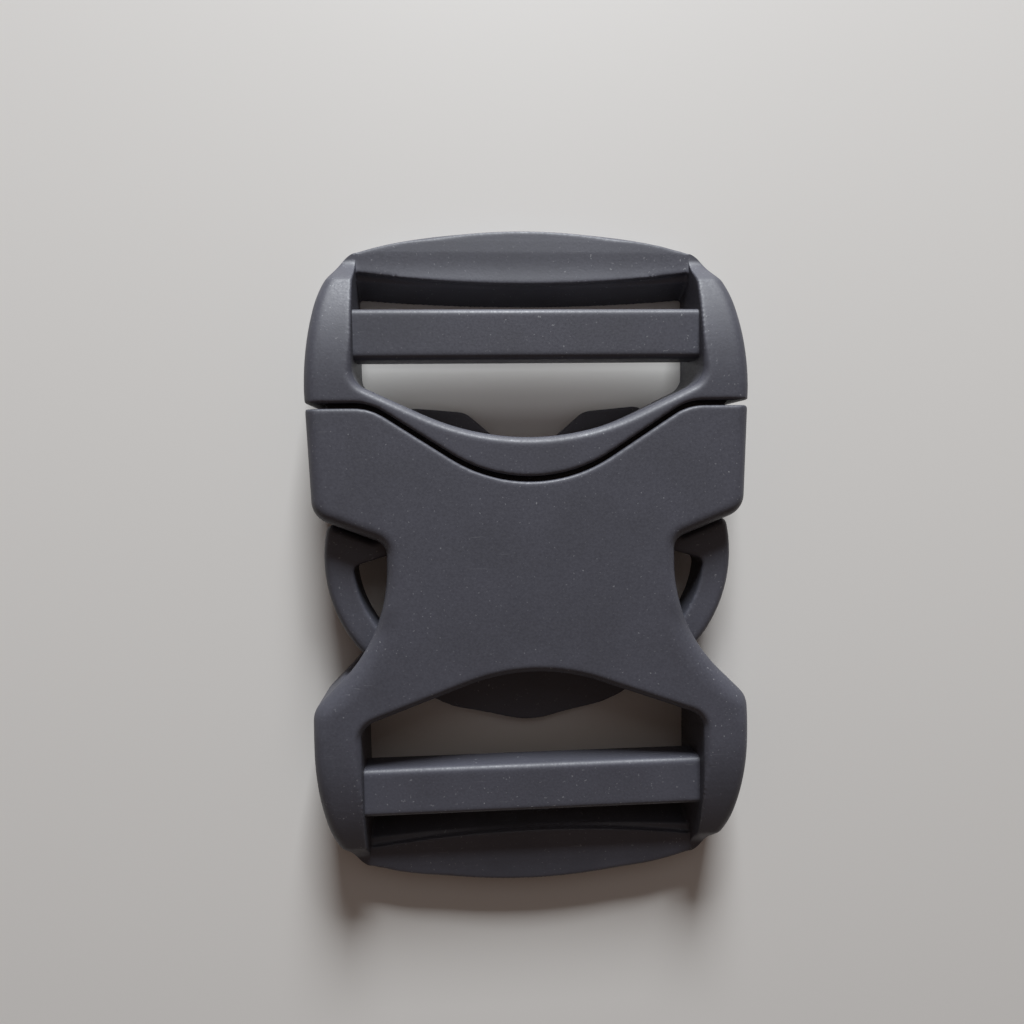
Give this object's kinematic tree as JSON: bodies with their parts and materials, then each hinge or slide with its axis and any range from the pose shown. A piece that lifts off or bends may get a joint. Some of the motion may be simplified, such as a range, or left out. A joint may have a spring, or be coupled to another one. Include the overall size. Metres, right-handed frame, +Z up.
{
  "type": "side-release buckle",
  "caption": "Side-release buckle with a ladder-lock strap frame at each end, two flexing latch arms with squeeze pads and a sliding plug.",
  "frame": {"origin": "middle of the underside", "axes": "+Y towards the plug's end, along the strap; +X across the strap; +Z up through the thickness"},
  "size_m": [0.0662, 0.1044, 0.0134],
  "materials": {
    "socket_plastic": "fine spark-eroded grain, dark grey",
    "plug_plastic": "fine spark-eroded grain, dark grey"
  },
  "bodies": {
    "socket": {"socket_housing": "socket_plastic", "socket_crossbar": "socket_plastic", "socket_guide_ribs": "socket_plastic"},
    "plug": {"plug_frame": "plug_plastic", "plug_crossbar": "plug_plastic", "plug_guide_tongue": "plug_plastic"},
    "left_arm": {"left_latch_arm": "plug_plastic"},
    "right_arm": {"right_latch_arm": "plug_plastic"}
  },
  "joints": [
    {"name": "plug_slide", "type": "slide", "parent": "socket", "child": "plug", "axis": [0, 1, 0], "range_m": [0, 0.045], "deforming": ["left_latch_arm", "right_latch_arm"]},
    {"name": "left_arm_flex", "type": "hinge", "parent": "plug", "child": "left_arm", "pos_m": [-0.0221, 0.0195, 0.0063], "axis": [0, 0, 1], "range_deg": [0, 12.5], "stiffness_Nm_per_rad": 0.5},
    {"name": "right_arm_flex", "type": "hinge", "parent": "plug", "child": "right_arm", "pos_m": [0.0221, 0.0195, 0.0063], "axis": [0, 0, -1], "range_deg": [0, 12.5], "stiffness_Nm_per_rad": 0.5}
  ]
}
